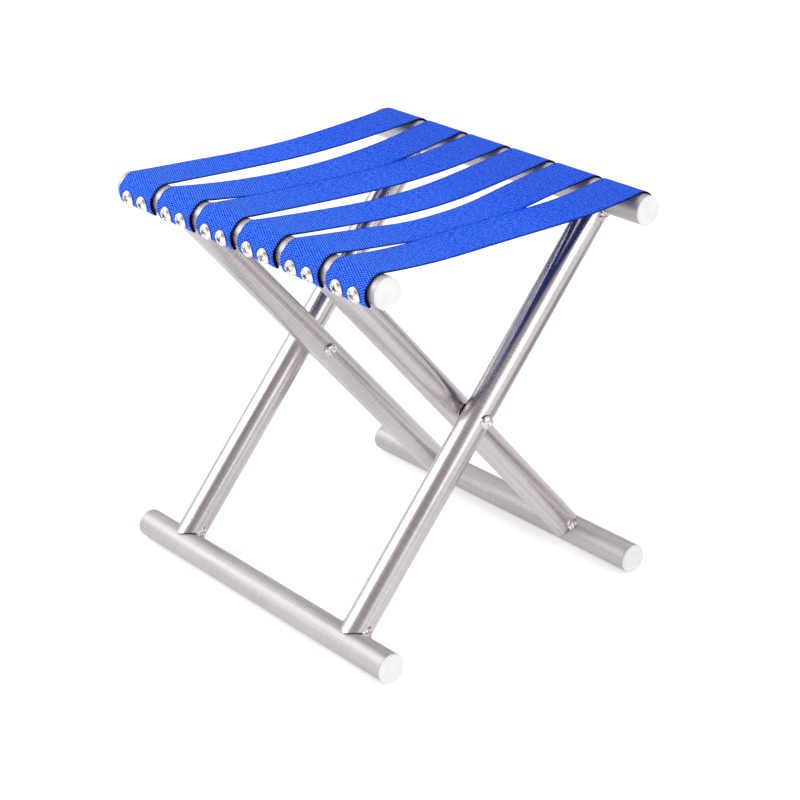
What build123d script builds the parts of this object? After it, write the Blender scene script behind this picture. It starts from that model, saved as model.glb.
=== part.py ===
"""Folding camp stool: two crossed steel-tube frames and six elastic seat straps.

Millimetres. +Z is up, the floor is Z = 0 and the origin is under the middle of the stool.
X runs across the stool, from rail to rail. Y runs along the rails, and the front is -Y.
The outer frame holds the top rail at +X and the floor rail at -X, with its two legs further
apart. The inner frame is its mirror image, with its legs between the outer ones. A rivet
through each pair of crossing legs lets the stool fold about one axis along Y.
"""

import os
from math import atan2, copysign, cos, degrees, hypot, radians, sin

from build123d import *

os.makedirs("parts", exist_ok=True)

# Driving dimensions
TUBE_DIAMETER = 22.0  # all rails and legs are the same stock tube
TUBE_WALL = 1.2
RAIL_LENGTH = 288.6
RAIL_SPAN = 240.0  # between the centres of two rails at the same height
RAIL_RISE = 277.0  # from a floor rail's centre up to a top rail's centre
OUTER_LEG_Y = 99.5
INNER_LEG_Y = 76.5

# Leg ends and their weld beads
COPE_GAP = 0.9  # the coped leg end stands this far off the rail, and the beads bridge it
BEAD_RADIUS = 4.2
BEAD_LOBE_RADIUS = 2.7  # a second, smaller puddle of weld on the leg beside each bead
BEAD_LOBE_OFFSET = 4.4
BEAD_SINK = 0.6  # how far a bead's centre lies inside the corner between leg and rail

# End caps
CAP_FLANGE = 2.2
CAP_EDGE_RADIUS = 1.6
CAP_REAR_CHAMFER = 0.35  # leaves a fine groove where the flange meets the tube
CAP_PLUG_LENGTH = 12.0
CAP_PLUG_WALL = 1.6
CAP_PLUG_CLEARANCE = 0.05

# Pivot rivets and the washers between the legs
PIVOT_RADIUS = 3.0
PIVOT_RUNNING_CLEARANCE = 0.05
PIVOT_HEAD_RADIUS = 5.6
PIVOT_HEAD_HEIGHT = 3.0
PIVOT_DIMPLE_RADIUS = 1.8
PIVOT_DIMPLE_DEPTH = 1.3
PIVOT_END_CLEARANCE = 0.15
WASHER_RADIUS = 7.0
WASHER_THICKNESS = 0.9

# Seat straps
STRAP_COUNT = 6
STRAP_WIDTH = 40.0
STRAP_PITCH = 47.6
STRAP_THICKNESS = 1.4
STRAP_SAG = 6.0
STRAP_CLEARANCE = 0.3  # between the strap and the rail that it is wrapped over
HEM_BOTTOM_ANGLE = -40.0  # about the rail: 0 points outwards, 90 points up
HEM_TOP_ANGLE = 16.0
HEM_STEP_ANGLE = 30.0  # above here the strap is a single layer again

# Strap rivets
RIVET_ANGLE = -11.0
RIVET_SPACING = 17.6
RIVET_RADIUS = 2.0
RIVET_HEAD_RADIUS = 5.9
RIVET_HEAD_HEIGHT = 2.2
RIVET_SKIRT = 0.8  # the rim is this far below the top of the hem
RIVET_DIMPLE_RADIUS = 2.2
RIVET_DIMPLE_DEPTH = 1.4
RIVET_SHANK_TOP = 0.5  # how far the shank reaches up into the head
RIVET_TAIL_RADIUS = 3.0
RIVET_TAIL_LENGTH = 3.0
RIVET_TAIL_DROP = 0.6  # from the top of the bore to the face of the tail
RIVET_HOLE_CLEARANCE = 0.05
RIVET_SEAT_CLEARANCE = 0.05
STRAP_HOLE_CLEARANCE = 0.25

DOME_SHARE = 0.72  # a domed head has this share of its height at the same share of its radius

# Worked out from the dimensions above
TUBE_RADIUS = TUBE_DIAMETER / 2
BORE_RADIUS = TUBE_RADIUS - TUBE_WALL
FLOOR_RAIL_Z = TUBE_RADIUS
TOP_RAIL_Z = FLOOR_RAIL_Z + RAIL_RISE
PIVOT_Z = FLOOR_RAIL_Z + RAIL_RISE / 2
RAIL_X = RAIL_SPAN / 2
HALF_LEG = hypot(RAIL_SPAN, RAIL_RISE) / 2
HEM_INNER_RADIUS = TUBE_RADIUS + STRAP_CLEARANCE
STRAP_OUTER_RADIUS = HEM_INNER_RADIUS + STRAP_THICKNESS
HEM_OUTER_RADIUS = HEM_INNER_RADIUS + 2 * STRAP_THICKNESS
LEG_CUT_DEPTH = 2 * TUBE_DIAMETER  # goes right through a leg from its middle
WALL_CUT_DEPTH = 2 * TUBE_WALL
HEM_CUT_DEPTH = 4 * STRAP_THICKNESS

# The outer frame's top rail is at +X and the inner frame's at -X. Each rail's X and Z:
TOP_SIDE = {"outer": 1, "inner": -1}
LEG_Y = {"outer": OUTER_LEG_Y, "inner": INNER_LEG_Y}
ENDS = {"front": -1, "back": 1}
RAILS = {
    "outer_top": (RAIL_X, TOP_RAIL_Z),
    "outer_floor": (-RAIL_X, FLOOR_RAIL_Z),
    "inner_top": (-RAIL_X, TOP_RAIL_Z),
    "inner_floor": (RAIL_X, FLOOR_RAIL_Z),
}


def leg_direction(top_side):
    """Unit vector up a leg of the frame whose top rail is on this side of X."""
    return Vector(top_side * RAIL_SPAN, 0, RAIL_RISE).normalized()


def around_rail(top_side, angle, radius, y=0.0):
    """Point at this angle and radius about a top rail, with angles counted as for the hem."""
    x = top_side * (RAIL_X + radius * cos(radians(angle)))
    return Vector(x, y, TOP_RAIL_Z + radius * sin(radians(angle)))


def wrap_point(top_side, angle, radius):
    """The same point as an (X, Z) pair, for sketching a strap's profile."""
    point = around_rail(top_side, angle, radius)
    return (point.X, point.Z)


def strap_centres():
    """Y of the middle of each strap, from the back of the stool to the front."""
    first = STRAP_PITCH * (STRAP_COUNT - 1) / 2
    return [first - STRAP_PITCH * index for index in range(STRAP_COUNT)]


def rivet_planes(top_side, distance):
    """A plane facing outwards on each strap rivet's axis, this far from the rail's axis."""
    outward = around_rail(top_side, RIVET_ANGLE, 1.0) - around_rail(top_side, RIVET_ANGLE, 0.0)
    planes = []
    for centre in strap_centres():
        for side in (-1, 1):
            rivet_y = centre + side * RIVET_SPACING / 2
            planes.append(Plane(around_rail(top_side, RIVET_ANGLE, distance, rivet_y), z_dir=outward))
    return planes


def save(builder, label):
    builder.part.label = label
    export_step(builder.part, f"parts/{label}.step")


# Rails: the top rails also have a hole for every strap rivet
for rail_name, (rail_x, rail_z) in RAILS.items():
    with BuildPart() as rail:
        with BuildSketch(Plane(origin=(rail_x, 0, rail_z), z_dir=(0, 1, 0))):
            Circle(TUBE_RADIUS)
            Circle(BORE_RADIUS, mode=Mode.SUBTRACT)
        extrude(amount=RAIL_LENGTH / 2, both=True)
        if rail_z == TOP_RAIL_Z:
            for plane in rivet_planes(copysign(1, rail_x), BORE_RADIUS):
                with BuildSketch(plane.offset(-TUBE_WALL)):
                    Circle(RIVET_RADIUS + RIVET_HOLE_CLEARANCE)
                extrude(amount=TUBE_WALL + WALL_CUT_DEPTH, mode=Mode.SUBTRACT)
    save(rail, f"{rail_name}_rail")

# Legs: coped at both ends to sit on the rails, and drilled for the pivot
for frame_name, top_side in TOP_SIDE.items():
    direction = leg_direction(top_side)
    for end_name, end in ENDS.items():
        middle = Vector(0, end * LEG_Y[frame_name], PIVOT_Z)
        with BuildPart() as leg:
            with BuildSketch(Plane(middle, x_dir=(0, 1, 0), z_dir=direction)):
                Circle(TUBE_RADIUS)
                Circle(BORE_RADIUS, mode=Mode.SUBTRACT)
            extrude(amount=HALF_LEG, both=True)
            for side in (-1, 1):
                rail_centre = middle + direction * (side * HALF_LEG)
                with BuildSketch(Plane(rail_centre, z_dir=(0, 1, 0))):
                    Circle(TUBE_RADIUS + COPE_GAP)
                extrude(amount=LEG_CUT_DEPTH, both=True, mode=Mode.SUBTRACT)
            with BuildSketch(Plane(middle, z_dir=(0, 1, 0))):
                Circle(PIVOT_RADIUS + PIVOT_RUNNING_CLEARANCE)
            extrude(amount=LEG_CUT_DEPTH, both=True, mode=Mode.SUBTRACT)
        save(leg, f"{frame_name}_leg_{end_name}")

# Weld beads: one on each side of every leg end, trimmed to lie in the corner
for frame_name, top_side in TOP_SIDE.items():
    direction = leg_direction(top_side)
    with BuildPart() as beads:
        for end in ENDS.values():
            middle = Vector(0, end * LEG_Y[frame_name], PIVOT_Z)
            for level in (-1, 1):
                corner = middle + direction * (level * (HALF_LEG - TUBE_RADIUS))
                for side in (-1, 1):
                    bead_centre = corner + Vector(0, side * (TUBE_RADIUS - BEAD_SINK), 0)
                    with Locations(bead_centre):
                        Sphere(BEAD_RADIUS, rotation=(0, 90, 0))
                    with Locations(bead_centre - direction * (level * BEAD_LOBE_OFFSET)):
                        Sphere(BEAD_LOBE_RADIUS, rotation=(0, 90, 0))
                with BuildSketch(Plane(middle + direction * (level * HALF_LEG), z_dir=(0, 1, 0))):
                    Circle(TUBE_RADIUS)
                extrude(amount=LEG_CUT_DEPTH, both=True, mode=Mode.SUBTRACT)
            with BuildSketch(Plane(middle, x_dir=(0, 1, 0), z_dir=direction)):
                Circle(TUBE_RADIUS)
            extrude(amount=HALF_LEG, both=True, mode=Mode.SUBTRACT)
    save(beads, f"{frame_name}_weld_beads")

# End caps: a rounded flange flush with the tube and a hollow plug inside it
for rail_name, (rail_x, rail_z) in RAILS.items():
    for end_name, end in ENDS.items():
        tube_end = Plane(origin=(rail_x, end * RAIL_LENGTH / 2, rail_z), z_dir=(0, end, 0))
        plug_radius = BORE_RADIUS - CAP_PLUG_CLEARANCE
        with BuildPart() as cap:
            with BuildSketch(tube_end):
                Circle(TUBE_RADIUS)
            extrude(amount=CAP_FLANGE)
            flange_edges = cap.edges().sort_by(Axis((0, 0, 0), (0, end, 0)))
            fillet(flange_edges[-1], radius=CAP_EDGE_RADIUS)
            rear_edge = cap.edges().sort_by(Axis((0, 0, 0), (0, end, 0)))[0]
            chamfer(rear_edge, length=CAP_REAR_CHAMFER)
            with BuildSketch(tube_end):
                Circle(plug_radius)
                Circle(plug_radius - CAP_PLUG_WALL, mode=Mode.SUBTRACT)
            extrude(amount=-CAP_PLUG_LENGTH)
        save(cap, f"cap_{rail_name}_{end_name}")

# Pivot rivets: the head saddles the outer leg, and the formed end stands just off the inner leg
for end_name, end in ENDS.items():
    head_y = OUTER_LEG_Y + TUBE_RADIUS
    tail_y = INNER_LEG_Y - TUBE_RADIUS - PIVOT_END_CLEARANCE
    pivot_axis = Axis((0, 0, PIVOT_Z), (0, end, 0))
    with BuildPart() as pivot_rivet:
        with BuildSketch(Plane((0, 0, PIVOT_Z), x_dir=(0, end, 0), z_dir=(-end, 0, 0))):
            with BuildLine():
                Polyline(
                    (tail_y - PIVOT_HEAD_HEIGHT + PIVOT_DIMPLE_DEPTH, 0),
                    (tail_y - PIVOT_HEAD_HEIGHT, PIVOT_DIMPLE_RADIUS),
                )
                ThreePointArc(
                    (tail_y - PIVOT_HEAD_HEIGHT, PIVOT_DIMPLE_RADIUS),
                    (tail_y - PIVOT_HEAD_HEIGHT * DOME_SHARE, PIVOT_HEAD_RADIUS * DOME_SHARE),
                    (tail_y, PIVOT_HEAD_RADIUS),
                )
                Polyline(
                    (tail_y, PIVOT_HEAD_RADIUS),
                    (tail_y, PIVOT_RADIUS),
                    (head_y - PIVOT_HEAD_HEIGHT, PIVOT_RADIUS),
                    (head_y - PIVOT_HEAD_HEIGHT, PIVOT_HEAD_RADIUS),
                    (head_y, PIVOT_HEAD_RADIUS),
                )
                ThreePointArc(
                    (head_y, PIVOT_HEAD_RADIUS),
                    (head_y + PIVOT_HEAD_HEIGHT * DOME_SHARE, PIVOT_HEAD_RADIUS * DOME_SHARE),
                    (head_y + PIVOT_HEAD_HEIGHT, PIVOT_DIMPLE_RADIUS),
                )
                Polyline(
                    (head_y + PIVOT_HEAD_HEIGHT, PIVOT_DIMPLE_RADIUS),
                    (head_y + PIVOT_HEAD_HEIGHT - PIVOT_DIMPLE_DEPTH, 0),
                    (tail_y - PIVOT_HEAD_HEIGHT + PIVOT_DIMPLE_DEPTH, 0),
                )
            make_face()
        revolve(axis=pivot_axis)
        middle = Vector(0, end * OUTER_LEG_Y, PIVOT_Z)
        with BuildSketch(Plane(middle, x_dir=(0, 1, 0), z_dir=leg_direction(1))):
            Circle(TUBE_RADIUS)
            Circle(BORE_RADIUS, mode=Mode.SUBTRACT)
        extrude(amount=TUBE_DIAMETER, both=True, mode=Mode.SUBTRACT)
        with BuildSketch(Plane((0, end * tail_y, PIVOT_Z), z_dir=(0, end, 0))):
            Circle(PIVOT_RADIUS)
        extrude(amount=head_y - tail_y)
    save(pivot_rivet, f"pivot_rivet_{end_name}")

# Pivot washers: between the outer and the inner leg, against the outer one
for end_name, end in ENDS.items():
    washer_y = OUTER_LEG_Y - TUBE_RADIUS
    with BuildPart() as washer:
        with BuildSketch(Plane((0, end * washer_y, PIVOT_Z), z_dir=(0, -end, 0))):
            Circle(WASHER_RADIUS)
            Circle(PIVOT_RADIUS + PIVOT_RUNNING_CLEARANCE, mode=Mode.SUBTRACT)
        extrude(amount=WASHER_THICKNESS)
    save(washer, f"pivot_washer_{end_name}")

# Seat straps: one closed profile, hemmed at both ends, extruded to the strap's width.
# Between the rails it is one shallow arc that touches both rails' wrapping circles.
span_drop = HEM_INNER_RADIUS - STRAP_SAG
span_radius = (RAIL_X**2 + span_drop**2 - HEM_INNER_RADIUS**2) / (2 * STRAP_SAG)
span_centre_z = TOP_RAIL_Z + span_drop + span_radius
leave_angle = 90 + degrees(atan2(RAIL_X, span_drop + span_radius))

for index, centre_y in enumerate(strap_centres(), start=1):
    with BuildPart() as strap:
        with BuildSketch(Plane.XZ.offset(-centre_y)):
            with BuildLine():
                for side in (-1, 1):
                    ThreePointArc(
                        wrap_point(side, HEM_BOTTOM_ANGLE, HEM_INNER_RADIUS),
                        wrap_point(side, (HEM_BOTTOM_ANGLE + leave_angle) / 2, HEM_INNER_RADIUS),
                        wrap_point(side, leave_angle, HEM_INNER_RADIUS),
                    )
                    fold_middle = degrees(STRAP_THICKNESS / STRAP_OUTER_RADIUS)
                    ThreePointArc(
                        wrap_point(side, HEM_BOTTOM_ANGLE, HEM_INNER_RADIUS),
                        wrap_point(side, HEM_BOTTOM_ANGLE - fold_middle, STRAP_OUTER_RADIUS),
                        wrap_point(side, HEM_BOTTOM_ANGLE, HEM_OUTER_RADIUS),
                    )
                    ThreePointArc(
                        wrap_point(side, HEM_BOTTOM_ANGLE, HEM_OUTER_RADIUS),
                        wrap_point(side, (HEM_BOTTOM_ANGLE + HEM_TOP_ANGLE) / 2, HEM_OUTER_RADIUS),
                        wrap_point(side, HEM_TOP_ANGLE, HEM_OUTER_RADIUS),
                    )
                    Line(
                        wrap_point(side, HEM_TOP_ANGLE, HEM_OUTER_RADIUS),
                        wrap_point(side, HEM_STEP_ANGLE, STRAP_OUTER_RADIUS),
                    )
                    ThreePointArc(
                        wrap_point(side, HEM_STEP_ANGLE, STRAP_OUTER_RADIUS),
                        wrap_point(side, (HEM_STEP_ANGLE + leave_angle) / 2, STRAP_OUTER_RADIUS),
                        wrap_point(side, leave_angle, STRAP_OUTER_RADIUS),
                    )
                for rise in (0, STRAP_THICKNESS):
                    ThreePointArc(
                        wrap_point(-1, leave_angle, HEM_INNER_RADIUS + rise),
                        (0, span_centre_z - span_radius + rise),
                        wrap_point(1, leave_angle, HEM_INNER_RADIUS + rise),
                    )
            make_face()
        extrude(amount=STRAP_WIDTH / 2, both=True)
        for side in (-1, 1):
            for plane in rivet_planes(side, HEM_OUTER_RADIUS):
                if abs(plane.origin.Y - centre_y) < STRAP_WIDTH / 2:
                    with BuildSketch(plane.offset(STRAP_THICKNESS)):
                        Circle(RIVET_RADIUS + STRAP_HOLE_CLEARANCE)
                    extrude(amount=-HEM_CUT_DEPTH, mode=Mode.SUBTRACT)
    save(strap, f"strap_{index}")

# Strap rivets: domed heads that saddle the hem, and tails formed inside the tube
for frame_name, top_side in TOP_SIDE.items():
    seat_radius = HEM_OUTER_RADIUS + RIVET_SEAT_CLEARANCE
    with BuildPart() as rivets:
        for plane in rivet_planes(top_side, seat_radius):
            with BuildSketch(Plane(plane.origin, x_dir=plane.z_dir, z_dir=plane.x_dir)):
                with BuildLine():
                    Polyline(
                        (RIVET_HEAD_HEIGHT - RIVET_DIMPLE_DEPTH, 0),
                        (RIVET_HEAD_HEIGHT, RIVET_DIMPLE_RADIUS),
                    )
                    ThreePointArc(
                        (RIVET_HEAD_HEIGHT, RIVET_DIMPLE_RADIUS),
                        (RIVET_HEAD_HEIGHT * DOME_SHARE, RIVET_HEAD_RADIUS * DOME_SHARE),
                        (-RIVET_SKIRT, RIVET_HEAD_RADIUS),
                    )
                    Polyline(
                        (-RIVET_SKIRT, RIVET_HEAD_RADIUS),
                        (-2 * RIVET_SKIRT, RIVET_HEAD_RADIUS),
                        (-2 * RIVET_SKIRT, 0),
                        (RIVET_HEAD_HEIGHT - RIVET_DIMPLE_DEPTH, 0),
                    )
                make_face()
            revolve(axis=Axis(plane.origin, plane.z_dir))
        with BuildSketch(Plane((top_side * RAIL_X, 0, TOP_RAIL_Z), z_dir=(0, 1, 0))):
            Circle(seat_radius)
        extrude(amount=RAIL_LENGTH / 2, both=True, mode=Mode.SUBTRACT)
        tail_face = BORE_RADIUS - RIVET_TAIL_DROP
        for plane in rivet_planes(top_side, tail_face):
            with BuildSketch(plane):
                Circle(RIVET_TAIL_RADIUS)
            extrude(amount=-RIVET_TAIL_LENGTH)
            with BuildSketch(plane.offset(-RIVET_TAIL_LENGTH / 2)):
                Circle(RIVET_RADIUS)
            extrude(amount=RIVET_TAIL_LENGTH / 2 + seat_radius + RIVET_SHANK_TOP - tail_face)
    save(rivets, f"{frame_name}_strap_rivets")
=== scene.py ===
"""Looks of the folding camp stool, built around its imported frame.

Metres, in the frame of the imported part: +Z is up, the floor is Z = 0 and the front is -Y. The
steel and plastic parts keep their CAD meshes and get procedural materials. The six elastic seat
straps are built here as closed ribbons that stand for the plain CAD straps.
"""

import math
from collections import namedtuple

import bpy
import numpy as np
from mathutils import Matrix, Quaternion, Vector


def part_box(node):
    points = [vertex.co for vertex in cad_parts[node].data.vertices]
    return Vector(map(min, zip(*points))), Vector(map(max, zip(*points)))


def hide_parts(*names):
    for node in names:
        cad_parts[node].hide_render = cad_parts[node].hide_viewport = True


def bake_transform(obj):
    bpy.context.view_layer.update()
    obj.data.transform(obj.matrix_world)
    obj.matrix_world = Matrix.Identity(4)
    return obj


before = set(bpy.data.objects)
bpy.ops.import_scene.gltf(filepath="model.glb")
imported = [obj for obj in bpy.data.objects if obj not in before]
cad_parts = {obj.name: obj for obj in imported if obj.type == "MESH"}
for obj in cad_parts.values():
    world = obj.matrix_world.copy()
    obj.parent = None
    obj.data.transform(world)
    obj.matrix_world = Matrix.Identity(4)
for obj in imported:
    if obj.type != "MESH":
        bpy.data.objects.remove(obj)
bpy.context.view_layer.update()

MM = 0.001

# Camera
CAMERA_AZIMUTH = math.radians(-40.489)
CAMERA_ELEVATION = math.radians(24.243)
CAMERA_ROLL = math.radians(-0.407)
CAMERA_DISTANCE = 1.4914
CAMERA_AIM = Vector((-0.0465, -0.0705, 0.1669))
CAMERA_LENS = 95.41
CAMERA_SENSOR = 36.0
CAMERA_FAR = 50.0

# Straps
STRAP_THICKNESS = 1.15 * MM
SPAN_THINNING = 0.2  # share of the thickness lost where the elastic is stretched
STRAP_EDGE_ROUND = 0.5 * MM
RIB_PITCH = 1.8 * MM
RIB_DEPTH = 0.16 * MM
RIB_SAMPLES = 4
LAYER_GAP = 0.1 * MM
RAIL_GAP = 0.5 * MM
HEM_TOP = math.radians(16)
HEM_BOTTOM = math.radians(-40)
HEM_STEP = math.radians(34)
RIVET_ANGLE = math.radians(-11)
RIVET_SPACING = 17.6 * MM
RIVET_DENT = 0.45 * MM
RIVET_DENT_INNER = 6.0 * MM
RIVET_DENT_OUTER = 9.0 * MM
SPAN_STEP = 1.6 * MM
WRAP_STEP = 1.0 * MM
FOLD_STEPS = 8
NARROWING = 0.015  # share of the width lost in mid span
LIFT_BAND = 0.45  # share of the half width over which a lifted edge curls
LIFT_RISES = (0.20, 0.40)  # shares of the span between which the edges lift, and lie flat again
LIFT_FALLS = (0.58, 0.82)

# drift moves a strap sideways in one bow along its span (+ is towards the back), skew in two bows
# and twist in three. focus gathers the drift towards the middle, sag is the strap's depth there,
# and front_lift and back_lift raise its front and back edges. Millimetres, apart from focus.
StrapShape = namedtuple("StrapShape", "drift focus skew twist sag front_lift back_lift")
STRAP_SHAPES = {
    "strap_1": StrapShape(2.5, 1.0, 1.5, 1.0, 6.2, 0.3, -0.2),
    "strap_2": StrapShape(-9.8, 1.0, -0.4, 0.0, 6.9, -0.9, 0.2),
    "strap_3": StrapShape(-1.0, 1.0, 2.5, 0.5, 6.3, 0.2, 0.9),
    "strap_4": StrapShape(-6.0, 1.0, 0.5, 1.0, 6.6, -0.2, -0.3),
    "strap_5": StrapShape(-8.2, 2.0, -1.2, 0.0, 6.6, -1.0, -1.5),
    "strap_6": StrapShape(2.0, 2.0, 0.6, -1.0, 6.4, 0.2, 1.0),
}

# Webbing. Places along a strap are measured from its middle, and the right end is positive. The
# tone, which picks the colour, adds up the stitches' height, the yarn, a coarser speckle and these.
PICK_PITCH = 1.9 * MM
HEIGHT_MEAN = 0.49
TONE_BASE = 0.160
YARN_TONE = 0.40
SPECKLE_TONE = 0.62
STITCHES_FROM_TO = (0.045, 0.105)  # the stitches are blurred before these, and clear after
STITCHES_TONE = (0.30, 0.62)
# Painted shade on the strap edges: between these places the edge tone drops from the span's raised
# tone to the darker tone round the rails.
WRAP_SHADE_FROM_TO = (0.095, 0.130)
# Painted light and shade: a little lighter from each strap's left end to its middle, and darker
# towards its right end, where the light falls off.
RIGHT_END_SHADE_FROM_TO = (0.02, 0.11)
RIGHT_END_SHADE_TONE = (0.020, -0.045)
# Painted shade: darker along the selvedges, where the straps meet their neighbours.
SELVEDGE_SHADE_FROM_TO = (0.8 * MM, 2.0 * MM)  # in from the edge
SELVEDGE_SHADE_TONE = -0.11
TONE_STOPS = (0.55, 0.69, 0.86)

# Steel. The scales of its marks are along the tube, then across it.
STREAK_SCALES = (6.0, 900.0)
RING_SCALES = (900.0, 25.0)
PATCH_SCALES = (12.0, 45.0)
LEG_DARK = (0.50, 0.465, 0.475)
LEG_LIGHT = (0.70, 0.66, 0.675)
RAIL_DARK = (0.46, 0.43, 0.44)
RAIL_LIGHT = (0.66, 0.62, 0.635)
RAIL_METAL = 0.72  # below 1, the rails look satin

# Rivet heads
DIMPLE_RADII = (1.1 * MM, 2.3 * MM)
CREASE_RADII = (2.4 * MM, 4.6 * MM)
CREASE_COUNT = 5.0

# Floor and studio
FLOOR_SIZE = 12.0
FLOOR_DROP = 0.2 * MM
FLOOR_GLOW = 0.40
FLOOR_BOUNCE = 0.22
SHADOW_CENTRE = (0.42, -0.36, 0.0)
SHADOW_CORE = 0.10
SHADOW_REACH = 0.42
SHADOW_COLOUR = (0.40, 0.36, 0.355)

# The studio round the stool, as the steel mirrors it: pale, with darker and browner patches. Each
# patch has its direction, the angle at which it begins and the angle inside which it is full.
WORLD_COLOUR = (0.92, 0.916, 0.92)
PATCHES = [
    (Vector((-0.67, -0.45, 0.58)), 38, 14, (0.42, 0.39, 0.39)),
    (Vector((1.0, 0.10, 0.12)), 62, 22, (0.50, 0.455, 0.45)),
]

# Name, centre, width, height and radiance of each light. Both aim at the middle of the stool.
LIGHT_AIM = (0.0, 0.0, 0.15)
SOFTBOXES = [
    ("softbox_left", (-0.86, 0.82, 0.92), 1.35, 0.86, 1.8),
    ("softbox_front", (0.12, -1.10, 0.70), 1.10, 0.60, 1.6),
]


def smoothstep(value, low, high):
    t = np.clip((value - low) / (high - low), 0, 1)
    return t * t * (3 - 2 * t)


# ---------------------------------------------------------------- places taken from the CAD

left_low, left_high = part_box("inner_top_rail")
right_low, right_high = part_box("outer_top_rail")
TUBE_RADIUS = (left_high.x - left_low.x) / 2
RAIL_X = (right_high.x + right_low.x) / 2
RAIL_Z = (right_high.z + right_low.z) / 2
floor_rail_low, floor_rail_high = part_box("outer_floor_rail")
RISE = RAIL_Z - (floor_rail_low.z + floor_rail_high.z) / 2
first_low, first_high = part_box("strap_1")
second_low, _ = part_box("strap_2")
STRAP_PITCH = first_low.y - second_low.y
STRAP_WIDTH = first_high.y - first_low.y
INNER_LAYER = TUBE_RADIUS + RAIL_GAP + STRAP_THICKNESS / 2
OUTER_LAYER = INNER_LAYER + STRAP_THICKNESS + LAYER_GAP

# ---------------------------------------------------------------- node helpers


def add_node(tree, kind, inputs=None, **settings):
    """A new node with these settings. Each input is a value, or a socket to link from."""
    made = tree.nodes.new(kind)
    for name, value in settings.items():
        setattr(made, name, value)
    for name, value in (inputs or {}).items():
        if isinstance(value, bpy.types.NodeSocket):
            tree.links.new(value, made.inputs[name])
        else:
            made.inputs[name].default_value = value
    return made


def calc(tree, operation, *values):
    return add_node(tree, "ShaderNodeMath", dict(enumerate(values)), operation=operation).outputs[0]


def plus(tree, first, *others):
    for other in others:
        first = calc(tree, "ADD", first, other)
    return first


def minus(tree, first, second):
    return calc(tree, "SUBTRACT", first, second)


def times(tree, first, second):
    return calc(tree, "MULTIPLY", first, second)


def vector_calc(tree, operation, first, second, output=0):
    inputs = {0: first, 1: second}
    return add_node(tree, "ShaderNodeVectorMath", inputs, operation=operation).outputs[output]


def scaled(tree, vector, scale):
    inputs = {0: vector, "Scale": scale}
    return add_node(tree, "ShaderNodeVectorMath", inputs, operation="SCALE").outputs[0]


def noise(tree, vector, scale, detail=3.0, roughness=0.55):
    inputs = {"Vector": vector, "Scale": scale, "Detail": detail, "Roughness": roughness}
    return add_node(tree, "ShaderNodeTexNoise", inputs).outputs["Fac"]


def remap(tree, value, low, high, new_low, new_high, **settings):
    inputs = {
        "Value": value, "From Min": low, "From Max": high, "To Min": new_low, "To Max": new_high,
    }
    return add_node(tree, "ShaderNodeMapRange", inputs, **settings).outputs[0]


def ramp(tree, value, stops):
    """Colour along these (position, colour) stops."""
    made = add_node(tree, "ShaderNodeValToRGB", {"Fac": value})
    elements = made.color_ramp.elements
    for index, (position, colour) in enumerate(stops):
        stop = elements[index] if index < 2 else elements.new(position)
        stop.position = position
        stop.color = (*colour, 1.0)
    return made.outputs["Color"]


def mix_colour(tree, share, first, second):
    """From the first colour to the second. Each is a socket or three numbers."""
    mixer = add_node(tree, "ShaderNodeMix", data_type="RGBA")
    tree.links.new(share, mixer.inputs["Factor"])
    colour_inputs = [socket for socket in mixer.inputs if socket.type == "RGBA"]
    for socket, colour in zip(colour_inputs, (first, second)):
        if isinstance(colour, bpy.types.NodeSocket):
            tree.links.new(colour, socket)
        else:
            socket.default_value = (*colour, 1.0)
    return next(socket for socket in mixer.outputs if socket.type == "RGBA")


def bump(tree, height, strength, distance):
    inputs = {"Height": height, "Strength": strength, "Distance": distance}
    return add_node(tree, "ShaderNodeBump", inputs).outputs["Normal"]


def new_material(name):
    material = bpy.data.materials.new(name)
    material.use_nodes = True
    tree = material.node_tree
    return material, tree, tree.nodes["Principled BSDF"]


def coat(tree, surface, colour, roughness, normal):
    tree.links.new(colour, surface.inputs["Base Color"])
    tree.links.new(roughness, surface.inputs["Roughness"])
    tree.links.new(normal, surface.inputs["Normal"])


def object_place(tree):
    return add_node(tree, "ShaderNodeTexCoord").outputs["Object"]


def stretched(tree, axis, scales):
    """Object coordinates, scaled by the first number along the axis and the second across it."""
    along, across = scales
    place = object_place(tree)
    distance = vector_calc(tree, "DOT_PRODUCT", place, axis, output="Value")
    shift = scaled(tree, axis, times(tree, distance, along - across))
    return vector_calc(tree, "ADD", scaled(tree, place, across), shift)


# ---------------------------------------------------------------- materials


def steel(name, axis, smooth, rough, dark=LEG_DARK, light=LEG_LIGHT, metal=1.0):
    """Stainless tube, polished lengthwise: streaks along the tube and faint rings round it."""
    material, tree, surface = new_material(name)
    streaks = noise(tree, stretched(tree, axis, STREAK_SCALES), 1.0, 5.0, 0.65)
    rings = noise(tree, stretched(tree, axis, RING_SCALES), 1.0, 2.0, 0.5)
    patches = noise(tree, stretched(tree, axis, PATCH_SCALES), 1.0, 3.0, 0.5)
    fine = plus(tree, times(tree, streaks, 0.75), times(tree, rings, 0.25))
    tone = plus(tree, times(tree, fine, 0.75), times(tree, patches, 0.25))
    wear = plus(tree, times(tree, fine, 0.5), times(tree, patches, 0.5))
    colour = ramp(tree, tone, [(0.36, dark), (0.60, light)])
    roughness = remap(tree, wear, 0.35, 0.65, smooth, rough)
    coat(tree, surface, colour, roughness, bump(tree, streaks, 0.25, 0.12 * MM))
    surface.inputs["Metallic"].default_value = metal
    return material


def chrome(name, colour, smooth, rough, dents):
    """Bright formed pivot heads and washers with small tool marks."""
    material, tree, surface = new_material(name)
    place = object_place(tree)
    marks = noise(tree, place, 420.0, 3.0, 0.5)
    haze = noise(tree, place, 1500.0, 2.0, 0.5)
    dark = tuple(0.82 * c for c in colour)
    marked = ramp(tree, marks, [(0.35, dark), (0.6, colour)])
    roughness = remap(tree, haze, 0.3, 0.7, smooth, rough)
    coat(tree, surface, marked, roughness, bump(tree, marks, dents, 0.4 * MM))
    surface.inputs["Metallic"].default_value = 1.0
    return material


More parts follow.
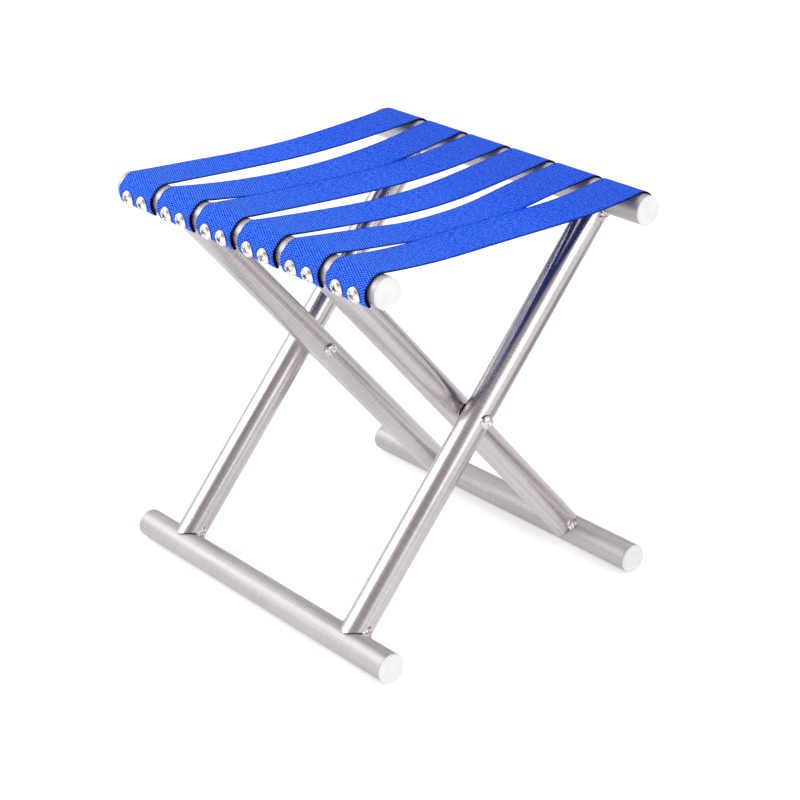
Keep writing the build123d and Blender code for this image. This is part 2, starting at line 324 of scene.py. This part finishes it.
def rivet_metal(name):
    """Bright formed rivet heads: a dimple, and creases that run out of it, both darkened with
    painted shade.
    """
    material, tree, surface = new_material(name)
    place = object_place(tree)
    parts = add_node(tree, "ShaderNodeSeparateXYZ", {"Vector": place})
    # How far along Y from the nearest rivet: first in its strap, then in its pair.
    strap_count = calc(tree, "DIVIDE", parts.outputs["Y"], STRAP_PITCH)
    in_strap = minus(tree, strap_count, calc(tree, "FLOOR", strap_count))
    from_middle = minus(tree, times(tree, in_strap, STRAP_PITCH), STRAP_PITCH / 2)
    beside = minus(tree, calc(tree, "ABSOLUTE", from_middle), RIVET_SPACING / 2)
    # How far round the rail from the rivets' angle.
    out = minus(tree, calc(tree, "ABSOLUTE", parts.outputs["X"]), RAIL_X)
    up = minus(tree, parts.outputs["Z"], RAIL_Z)
    above = minus(
        tree, times(tree, up, math.cos(RIVET_ANGLE)), times(tree, out, math.sin(RIVET_ANGLE))
    )
    square = plus(tree, times(tree, beside, beside), times(tree, above, above))
    radius = calc(tree, "POWER", square, 0.5)
    spokes = times(tree, calc(tree, "ARCTAN2", above, beside), CREASE_COUNT)
    jitter = times(tree, noise(tree, place, 260.0, 2.0), 9.0)
    crease = remap(tree, calc(tree, "SINE", plus(tree, spokes, jitter)), 0.35, 0.95, 0.0, 1.0)
    pit = remap(tree, radius, *DIMPLE_RADII, 1.0, 0.0)
    fade = remap(tree, radius, *CREASE_RADII, 1.0, 0.0)
    # Painted shade: the dimple and the creases round it darken to near-black brown, standing for the
    # shade in the recess.
    recess_shade = calc(tree, "MAXIMUM", pit, times(tree, crease, fade))
    marks = noise(tree, place, 420.0, 3.0, 0.5)
    patchy_recess_shade = times(tree, recess_shade, remap(tree, marks, 0.35, 0.6, 0.45, 1.0))
    colours = [(0.0, (0.93, 0.92, 0.90)), (0.35, (0.50, 0.46, 0.40)), (0.85, (0.06, 0.045, 0.035))]
    relief = plus(tree, marks, times(tree, recess_shade, -1.0))
    roughness = remap(tree, patchy_recess_shade, 0.0, 1.0, 0.10, 0.40)
    coat(tree, surface, ramp(tree, patchy_recess_shade, colours), roughness, bump(tree, relief, 0.35, 0.4 * MM))
    surface.inputs["Metallic"].default_value = 1.0
    return material


def weld(name):
    """Bright weld metal: overlapping ripples and a little straw-coloured heat tint."""
    material, tree, surface = new_material(name)
    place = object_place(tree)
    wave = {"Vector": place, "Scale": 210.0, "Distortion": 5.0, "Detail": 1.0}
    ripples = add_node(tree, "ShaderNodeTexWave", wave).outputs["Fac"]
    tint = noise(tree, place, 260.0, 2.0, 0.5)
    colours = [
        (0.34, (0.16, 0.14, 0.14)), (0.46, (0.80, 0.77, 0.75)),
        (0.62, (0.86, 0.82, 0.78)), (0.72, (0.36, 0.26, 0.17)),
    ]
    roughness = remap(tree, tint, 0.3, 0.7, 0.08, 0.22)
    coat(tree, surface, ramp(tree, tint, colours), roughness, bump(tree, ripples, 0.8, 0.7 * MM))
    surface.inputs["Metallic"].default_value = 1.0
    return material


def cap_plastic(name):
    """White moulded plastic with a fine spark-eroded grain and slight scuffs."""
    material, tree, surface = new_material(name)
    place = object_place(tree)
    grain = noise(tree, place, 1900.0, 2.0, 0.6)
    clouds = noise(tree, place, 90.0, 3.0, 0.5)
    scuffs = noise(tree, place, 600.0, 4.0, 0.7)
    mixed = plus(tree, times(tree, clouds, 0.7), times(tree, scuffs, 0.3))
    white = ramp(tree, mixed, [(0.34, (0.79, 0.79, 0.795)), (0.52, (0.865, 0.865, 0.87))])
    roughness = remap(tree, scuffs, 0.3, 0.7, 0.30, 0.52)
    coat(tree, surface, white, roughness, bump(tree, grain, 0.2, 0.06 * MM))
    surface.inputs["Subsurface Weight"].default_value = 0.12
    surface.inputs["Subsurface Radius"].default_value = (1.5 * MM, 1.5 * MM, 1.5 * MM)
    return material


def webbing(name, valley, middle, peak, wrap_shade=0.0):
    """Knitted elastic: lengthwise ribs, each a chain of stitches set half a stitch from the next.
    In the stretched span, away from the ends, the stitches blur. The tone is raised in the span by
    the given amount and not round the rails, so the wrapped ends stay darker: painted shade. It is
    also darker at the selvedges and towards the strap's right end, and a little lighter towards its
    left end: painted shade and light."""
    material, tree, surface = new_material(name)
    place = add_node(tree, "ShaderNodeUVMap", uv_map="weave").outputs["UV"]
    parts = add_node(tree, "ShaderNodeSeparateXYZ", {"Vector": place})
    across, along = parts.outputs["X"], parts.outputs["Y"]

    rib = calc(tree, "DIVIDE", across, RIB_PITCH)
    rib_height = calc(tree, "ABSOLUTE", calc(tree, "SINE", times(tree, rib, math.pi)))
    half_stitch = times(tree, calc(tree, "FLOOR", rib), math.pi)
    wobble = times(tree, noise(tree, place, 220.0, 2.0), 5.0)
    pick = plus(tree, times(tree, along, 2 * math.pi / PICK_PITCH), half_stitch, wobble)
    stitch = times(tree, plus(tree, calc(tree, "SINE", pick), 1.0), 0.5)
    height = times(
        tree,
        plus(tree, times(tree, rib_height, 0.75), 0.25),
        plus(tree, times(tree, stitch, 0.65), 0.35),
    )
    yarn = noise(tree, place, 1500.0, 2.0, 0.7)
    lengthened = vector_calc(tree, "MULTIPLY", place, (1.0, 0.6, 1.0))
    speckle = noise(tree, lengthened, 520.0, 3.0, 0.8)

    end = calc(tree, "ABSOLUTE", along)
    clear = remap(tree, end, *STITCHES_FROM_TO, *STITCHES_TONE)
    from_edge = minus(
        tree, STRAP_WIDTH / 2, calc(tree, "ABSOLUTE", minus(tree, across, STRAP_WIDTH / 2))
    )
    tone = plus(
        tree,
        times(tree, minus(tree, height, HEIGHT_MEAN), clear),
        TONE_BASE,
        times(tree, yarn, YARN_TONE),
        times(tree, speckle, SPECKLE_TONE),
        remap(tree, end, *WRAP_SHADE_FROM_TO, wrap_shade, 0.0),
        remap(tree, along, *RIGHT_END_SHADE_FROM_TO, *RIGHT_END_SHADE_TONE),
        remap(tree, from_edge, *SELVEDGE_SHADE_FROM_TO, SELVEDGE_SHADE_TONE, 0.0),
    )
    colour = ramp(tree, tone, list(zip(TONE_STOPS, (valley, middle, peak))))
    relief = plus(tree, height, times(tree, yarn, 0.35))
    roughness = remap(tree, tone, 0.2, 0.8, 0.90, 0.70)
    coat(tree, surface, colour, roughness, bump(tree, relief, 0.8, 0.45 * MM))
    surface.inputs["Specular IOR Level"].default_value = 0.08
    return material


def floor_material():
    """Pale paper that the camera sees glow a little. Towards the front right, where the stool
    shades it, it is darker to everything but the camera, so the steel has something to mirror."""
    material, tree, surface = new_material("floor_white")
    place = object_place(tree)
    mottle = noise(tree, place, 3.0, 4.0, 0.5)
    paper = ramp(tree, mottle, [(0.3, (0.86, 0.86, 0.86)), (0.7, (0.88, 0.88, 0.88))])
    away = vector_calc(tree, "DISTANCE", place, SHADOW_CENTRE, output="Value")
    shadow = remap(
        tree, away, SHADOW_CORE, SHADOW_REACH, 1.0, 0.0, interpolation_type="SMOOTHSTEP"
    )
    seen = add_node(tree, "ShaderNodeLightPath").outputs["Is Camera Ray"]
    shaded = times(tree, shadow, minus(tree, 1.0, seen))
    tree.links.new(mix_colour(tree, shaded, paper, SHADOW_COLOUR), surface.inputs["Base Color"])
    surface.inputs["Roughness"].default_value = 0.9
    surface.inputs["Specular IOR Level"].default_value = 0.1
    surface.inputs["Emission Color"].default_value = (1.0, 1.0, 1.0, 1.0)
    bounce = times(tree, minus(tree, 1.0, shadow), FLOOR_BOUNCE)
    glow = calc(tree, "MAXIMUM", times(tree, seen, FLOOR_GLOW), bounce)
    tree.links.new(glow, surface.inputs["Emission Strength"])
    return material


# ---------------------------------------------------------------- straps


def half_path(sag):
    """Middle line of the left half of a strap, as x and z, from the hem's hidden end to mid span."""
    fold_radius = (OUTER_LAYER - INNER_LAYER) / 2
    fold_at = (INNER_LAYER + OUTER_LAYER) / 2
    leave = math.pi / 2 + 2 * sag / RAIL_X  # the angle at which the strap lifts off the rail

    count = int((HEM_TOP - HEM_BOTTOM) * INNER_LAYER / WRAP_STEP)
    hidden = np.linspace(HEM_TOP, HEM_BOTTOM, count)
    line = [(-math.cos(angle) * INNER_LAYER, math.sin(angle) * INNER_LAYER) for angle in hidden]

    centre = Vector((-math.cos(HEM_BOTTOM), math.sin(HEM_BOTTOM))) * fold_at
    inward = Vector((math.cos(HEM_BOTTOM), -math.sin(HEM_BOTTOM)))
    down = Vector((-math.sin(HEM_BOTTOM), -math.cos(HEM_BOTTOM)))
    for step in range(1, FOLD_STEPS):
        turn = math.pi * step / FOLD_STEPS
        line.append(tuple(centre + fold_radius * (math.cos(turn) * inward + math.sin(turn) * down)))

    count = int((leave - HEM_BOTTOM) * OUTER_LAYER / WRAP_STEP)
    for angle in np.linspace(HEM_BOTTOM, leave, count):
        single = float(smoothstep(angle, HEM_TOP, HEM_STEP))
        radius = OUTER_LAYER + (INNER_LAYER - OUTER_LAYER) * single
        line.append((-math.cos(angle) * radius, math.sin(angle) * radius))

    start_x, start_z = line[-1]
    lowest = INNER_LAYER - sag
    count = int((RAIL_X - start_x) / SPAN_STEP)
    for share in np.linspace(0, 1, count + 1)[1:]:
        x = start_x + (RAIL_X - start_x) * share
        line.append((x, lowest + (start_z - lowest) * (1 - share) ** 2))
    points = np.array(line)
    points[:, 0] -= RAIL_X
    points[:, 1] += RAIL_Z
    return points


def strap_path(sag):
    left = half_path(sag)
    right = left[-2::-1].copy()
    right[:, 0] *= -1
    return np.vstack([left, right])


TOP_SLOT, EDGE_SLOT, UNDER_SLOT = range(3)


def strap_section(width):
    """Outline of the strap across its width, as (across, height, material slot) for each point."""
    half, thick = width / 2, STRAP_THICKNESS / 2
    flat = half - STRAP_EDGE_ROUND
    count = int(round(2 * flat / RIB_PITCH)) * RIB_SAMPLES
    across = np.linspace(-flat, flat, count + 1)
    ribs = RIB_DEPTH * (1 - np.abs(np.sin(np.pi * (across + flat) / RIB_PITCH)))
    top = [(a, thick - r, TOP_SLOT) for a, r in zip(across, ribs)]
    front = [
        (half - STRAP_EDGE_ROUND * (1 - math.cos(turn)), thick * math.sin(turn), EDGE_SLOT)
        for turn in np.radians([67.5, 45, 22.5, 0, -22.5, -45, -67.5])
    ]
    bottom = [(a, -h, UNDER_SLOT) for a, h, _ in reversed(top)]
    back = [(-a, -h, EDGE_SLOT) for a, h, _ in front]
    return top + front + bottom + back


def strap_vertices(path, section, shape, middle_y, half):
    """Points of the ribbon, by ring along the path and then round the section."""
    tangent = np.gradient(path, axis=0)
    tangent /= np.linalg.norm(tangent, axis=1)[:, None]
    normal = np.stack([-tangent[:, 1], tangent[:, 0]], axis=1)
    share = np.clip((path[:, 0] + RAIL_X) / (2 * RAIL_X), 0, 1)
    wave = np.sin(np.pi * share)
    thinned = 1 - SPAN_THINNING * smoothstep(wave, 0.0, 0.5)
    shift = MM * (
        shape.drift * wave**shape.focus
        + shape.skew * np.sin(2 * np.pi * share)
        + shape.twist * np.sin(3 * np.pi * share)
    )
    lifted = smoothstep(share, *LIFT_RISES) * (1 - smoothstep(share, *LIFT_FALLS))
    rail_side = np.where(path[:, 0] < 0, -1.0, 1.0)
    angle = np.arctan2(path[:, 1] - RAIL_Z, rail_side * path[:, 0] - RAIL_X)
    wrapped = np.where(rail_side * path[:, 0] > RAIL_X, 1.0, 0.0)
    radial_x = np.cos(angle) * rail_side
    radial_z = np.sin(angle)
    rivet_reach = (angle - RIVET_ANGLE) * OUTER_LAYER

    vertices = np.zeros((len(path), len(section), 3))
    for index, (across, height, _) in enumerate(section):
        lift_front = smoothstep(-across / half, 1 - LIFT_BAND, 1) * shape.front_lift
        lift_back = smoothstep(across / half, 1 - LIFT_BAND, 1) * shape.back_lift
        lift = MM * (lift_front + lift_back) * lifted
        dent = np.zeros(len(path))
        for side in (-1, 1):
            away = np.hypot(rivet_reach, across - side * RIVET_SPACING / 2)
            dent += RIVET_DENT * (1 - smoothstep(away, RIVET_DENT_INNER, RIVET_DENT_OUTER))
        out = path + normal * height * thinned[:, None]
        vertices[:, index, 0] = out[:, 0] - radial_x * dent * wrapped
        vertices[:, index, 1] = middle_y + shift + across * (1 - NARROWING * wave)
        vertices[:, index, 2] = out[:, 1] + lift - radial_z * dent * wrapped
    return vertices


def ribbon_faces(rings, per_ring):
    """Sides of the closed ribbon, ring by ring, and then its two ends."""
    faces = []
    for ring in range(rings - 1):
        for point in range(per_ring):
            after = (point + 1) % per_ring
            a, b = ring * per_ring, (ring + 1) * per_ring
            faces.append((a + point, b + point, b + after, a + after))
    faces.append(tuple(range(per_ring)))
    faces.append(tuple(reversed(range((rings - 1) * per_ring, rings * per_ring))))
    return faces


def strap_mesh(name, shape):
    """The strap's object, its width and its cut length."""
    low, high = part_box(name)
    middle_y, width = (low.y + high.y) / 2, high.y - low.y
    path = strap_path(shape.sag * MM)
    section = strap_section(width)
    rings, per_ring = len(path), len(section)
    vertices = strap_vertices(path, section, shape, middle_y, width / 2)

    mesh = bpy.data.meshes.new(name)
    mesh.from_pydata(vertices.reshape(-1, 3).tolist(), [], ribbon_faces(rings, per_ring))
    mesh.update()

    steps = np.linalg.norm(np.diff(path, axis=0), axis=1)
    length = np.concatenate([[0], np.cumsum(steps)])
    from_middle = length - length[-1] / 2
    from_front = np.array([across for across, _, _ in section]) + width / 2
    corner_vertex = np.zeros(len(mesh.loops), int)
    mesh.loops.foreach_get("vertex_index", corner_vertex)
    weave = [from_front[corner_vertex % per_ring], from_middle[corner_vertex // per_ring]]
    mesh.uv_layers.new(name="weave").data.foreach_set("uv", np.stack(weave, 1).ravel())

    point_slot = np.array([slot for _, _, slot in section])
    face_slot = np.where(point_slot == np.roll(point_slot, -1), point_slot, EDGE_SLOT)
    slots = np.concatenate([np.tile(face_slot, rings - 1), [EDGE_SLOT, EDGE_SLOT]])
    mesh.polygons.foreach_set("material_index", slots.astype(np.int32))
    mesh.polygons.foreach_set("use_smooth", np.ones(len(mesh.polygons), bool))
    strap = bpy.data.objects.new(f"elastic_{name}", mesh)
    bpy.context.scene.collection.objects.link(strap)
    return strap, width, float(length[-1])


webbing_materials = (
    webbing("webbing_top", (0.001, 0.016, 0.56), (0.010, 0.100, 0.97), (0.10, 0.33, 1.0)),
    # Painted shade: the edges and ends are near-black navy, standing for the shade between the
    # layers and beside the rails, with a little darker selvedge yarn. They are lighter in the span.
    webbing(
        "webbing_edge_shaded", (0.001, 0.003, 0.02), (0.003, 0.012, 0.08), (0.012, 0.06, 0.40), wrap_shade=0.22
    ),
    # Painted shade: the underside is a darker navy, standing for the shade under the seat.
    webbing("webbing_under_shaded", (0.001, 0.007, 0.08), (0.005, 0.027, 0.20), (0.02, 0.07, 0.40)),
)
for strap_name, strap_shape in STRAP_SHAPES.items():
    piece, cut_width, cut_length = strap_mesh(strap_name, strap_shape)
    for strap_material in webbing_materials:
        piece.data.materials.append(strap_material)
    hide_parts(strap_name)
    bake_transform(piece)

# ---------------------------------------------------------------- metal and plastic

outer_axis = Vector((2 * RAIL_X, 0, RISE)).normalized()
inner_axis = Vector((-2 * RAIL_X, 0, RISE)).normalized()
rail_steel = steel("rail_steel", (0, 1, 0), 0.40, 0.56, RAIL_DARK, RAIL_LIGHT, RAIL_METAL)
outer_leg_steel = steel("outer_leg_steel", outer_axis, 0.18, 0.30)
inner_leg_steel = steel("inner_leg_steel", inner_axis, 0.20, 0.34)
pivot_chrome = chrome("pivot_chrome", (0.80, 0.78, 0.75), 0.07, 0.20, 0.18)
rivet_chrome = rivet_metal("rivet_chrome")
washer_steel = chrome("washer_steel", (0.62, 0.60, 0.58), 0.16, 0.32, 0.10)
weld_steel = weld("weld_steel")
white_plastic = cap_plastic("white_plastic")

FINISH_BY_ENDING = {
    "_rail": rail_steel,
    "_strap_rivets": rivet_chrome,
    "_weld_beads": weld_steel,
}
FINISH_BY_START = {
    "outer_leg": outer_leg_steel,
    "inner_leg": inner_leg_steel,
    "pivot_rivet": pivot_chrome,
    "pivot_washer": washer_steel,
    "cap_": white_plastic,
}


def finish_of(node_name):
    for ending, material in FINISH_BY_ENDING.items():
        if node_name.endswith(ending):
            return material
    return next(m for start, m in FINISH_BY_START.items() if node_name.startswith(start))


for node_name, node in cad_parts.items():
    if not node_name.startswith("strap_"):
        node.data.materials.clear()
        node.data.materials.append(finish_of(node_name))

# ---------------------------------------------------------------- stage

floor_mesh = bpy.data.meshes.new("floor")
reach = FLOOR_SIZE / 2
floor_corners = [(-reach, -reach, 0), (reach, -reach, 0), (reach, reach, 0), (-reach, reach, 0)]
floor_mesh.from_pydata(floor_corners, [], [(0, 1, 2, 3)])
floor = bpy.data.objects.new("floor", floor_mesh)
bpy.context.scene.collection.objects.link(floor)
floor.location.z = -FLOOR_DROP
floor_mesh.materials.append(floor_material())

world = bpy.data.worlds.new("studio")
bpy.context.scene.world = world
world.use_nodes = True
sky = world.node_tree
direction = add_node(sky, "ShaderNodeTexCoord").outputs["Generated"]
sky_colour = WORLD_COLOUR
for patch_direction, begins, full, patch_colour in PATCHES:
    facing = vector_calc(
        sky, "DOT_PRODUCT", direction, patch_direction.normalized(), output="Value"
    )
    begins_at, full_at = math.cos(math.radians(begins)), math.cos(math.radians(full))
    share = remap(sky, facing, begins_at, full_at, 0.0, 1.0, interpolation_type="SMOOTHSTEP")
    sky_colour = mix_colour(sky, share, sky_colour, patch_colour)
background = sky.nodes["Background"]
sky.links.new(sky_colour, background.inputs["Color"])
background.inputs["Strength"].default_value = 1.0

for light_name, centre, light_width, light_height, radiance in SOFTBOXES:
    light_data = bpy.data.lights.new(light_name, "AREA")
    light_data.shape = "RECTANGLE"
    light_data.size, light_data.size_y = light_width, light_height
    light_data.energy = radiance * math.pi * light_width * light_height
    light = bpy.data.objects.new(light_name, light_data)
    bpy.context.scene.collection.objects.link(light)
    light.location = centre
    light.rotation_mode = "QUATERNION"
    light.rotation_quaternion = (Vector(LIGHT_AIM) - Vector(centre)).to_track_quat("-Z", "Y")

# ---------------------------------------------------------------- camera

camera_data = bpy.data.cameras.new("camera")
camera_data.sensor_width = CAMERA_SENSOR
camera_data.lens = CAMERA_LENS
camera_data.clip_end = CAMERA_FAR
camera = bpy.data.objects.new("camera", camera_data)
bpy.context.scene.collection.objects.link(camera)
backwards = Vector((
    math.sin(CAMERA_AZIMUTH) * math.cos(CAMERA_ELEVATION),
    -math.cos(CAMERA_AZIMUTH) * math.cos(CAMERA_ELEVATION),
    math.sin(CAMERA_ELEVATION),
))
roll = Quaternion((0, 0, 1), CAMERA_ROLL)
camera.location = CAMERA_AIM + backwards * CAMERA_DISTANCE
camera.rotation_mode = "QUATERNION"
camera.rotation_quaternion = (-backwards).to_track_quat("-Z", "Y") @ roll
bpy.context.scene.camera = camera
bpy.context.scene.view_settings.view_transform = "Standard"
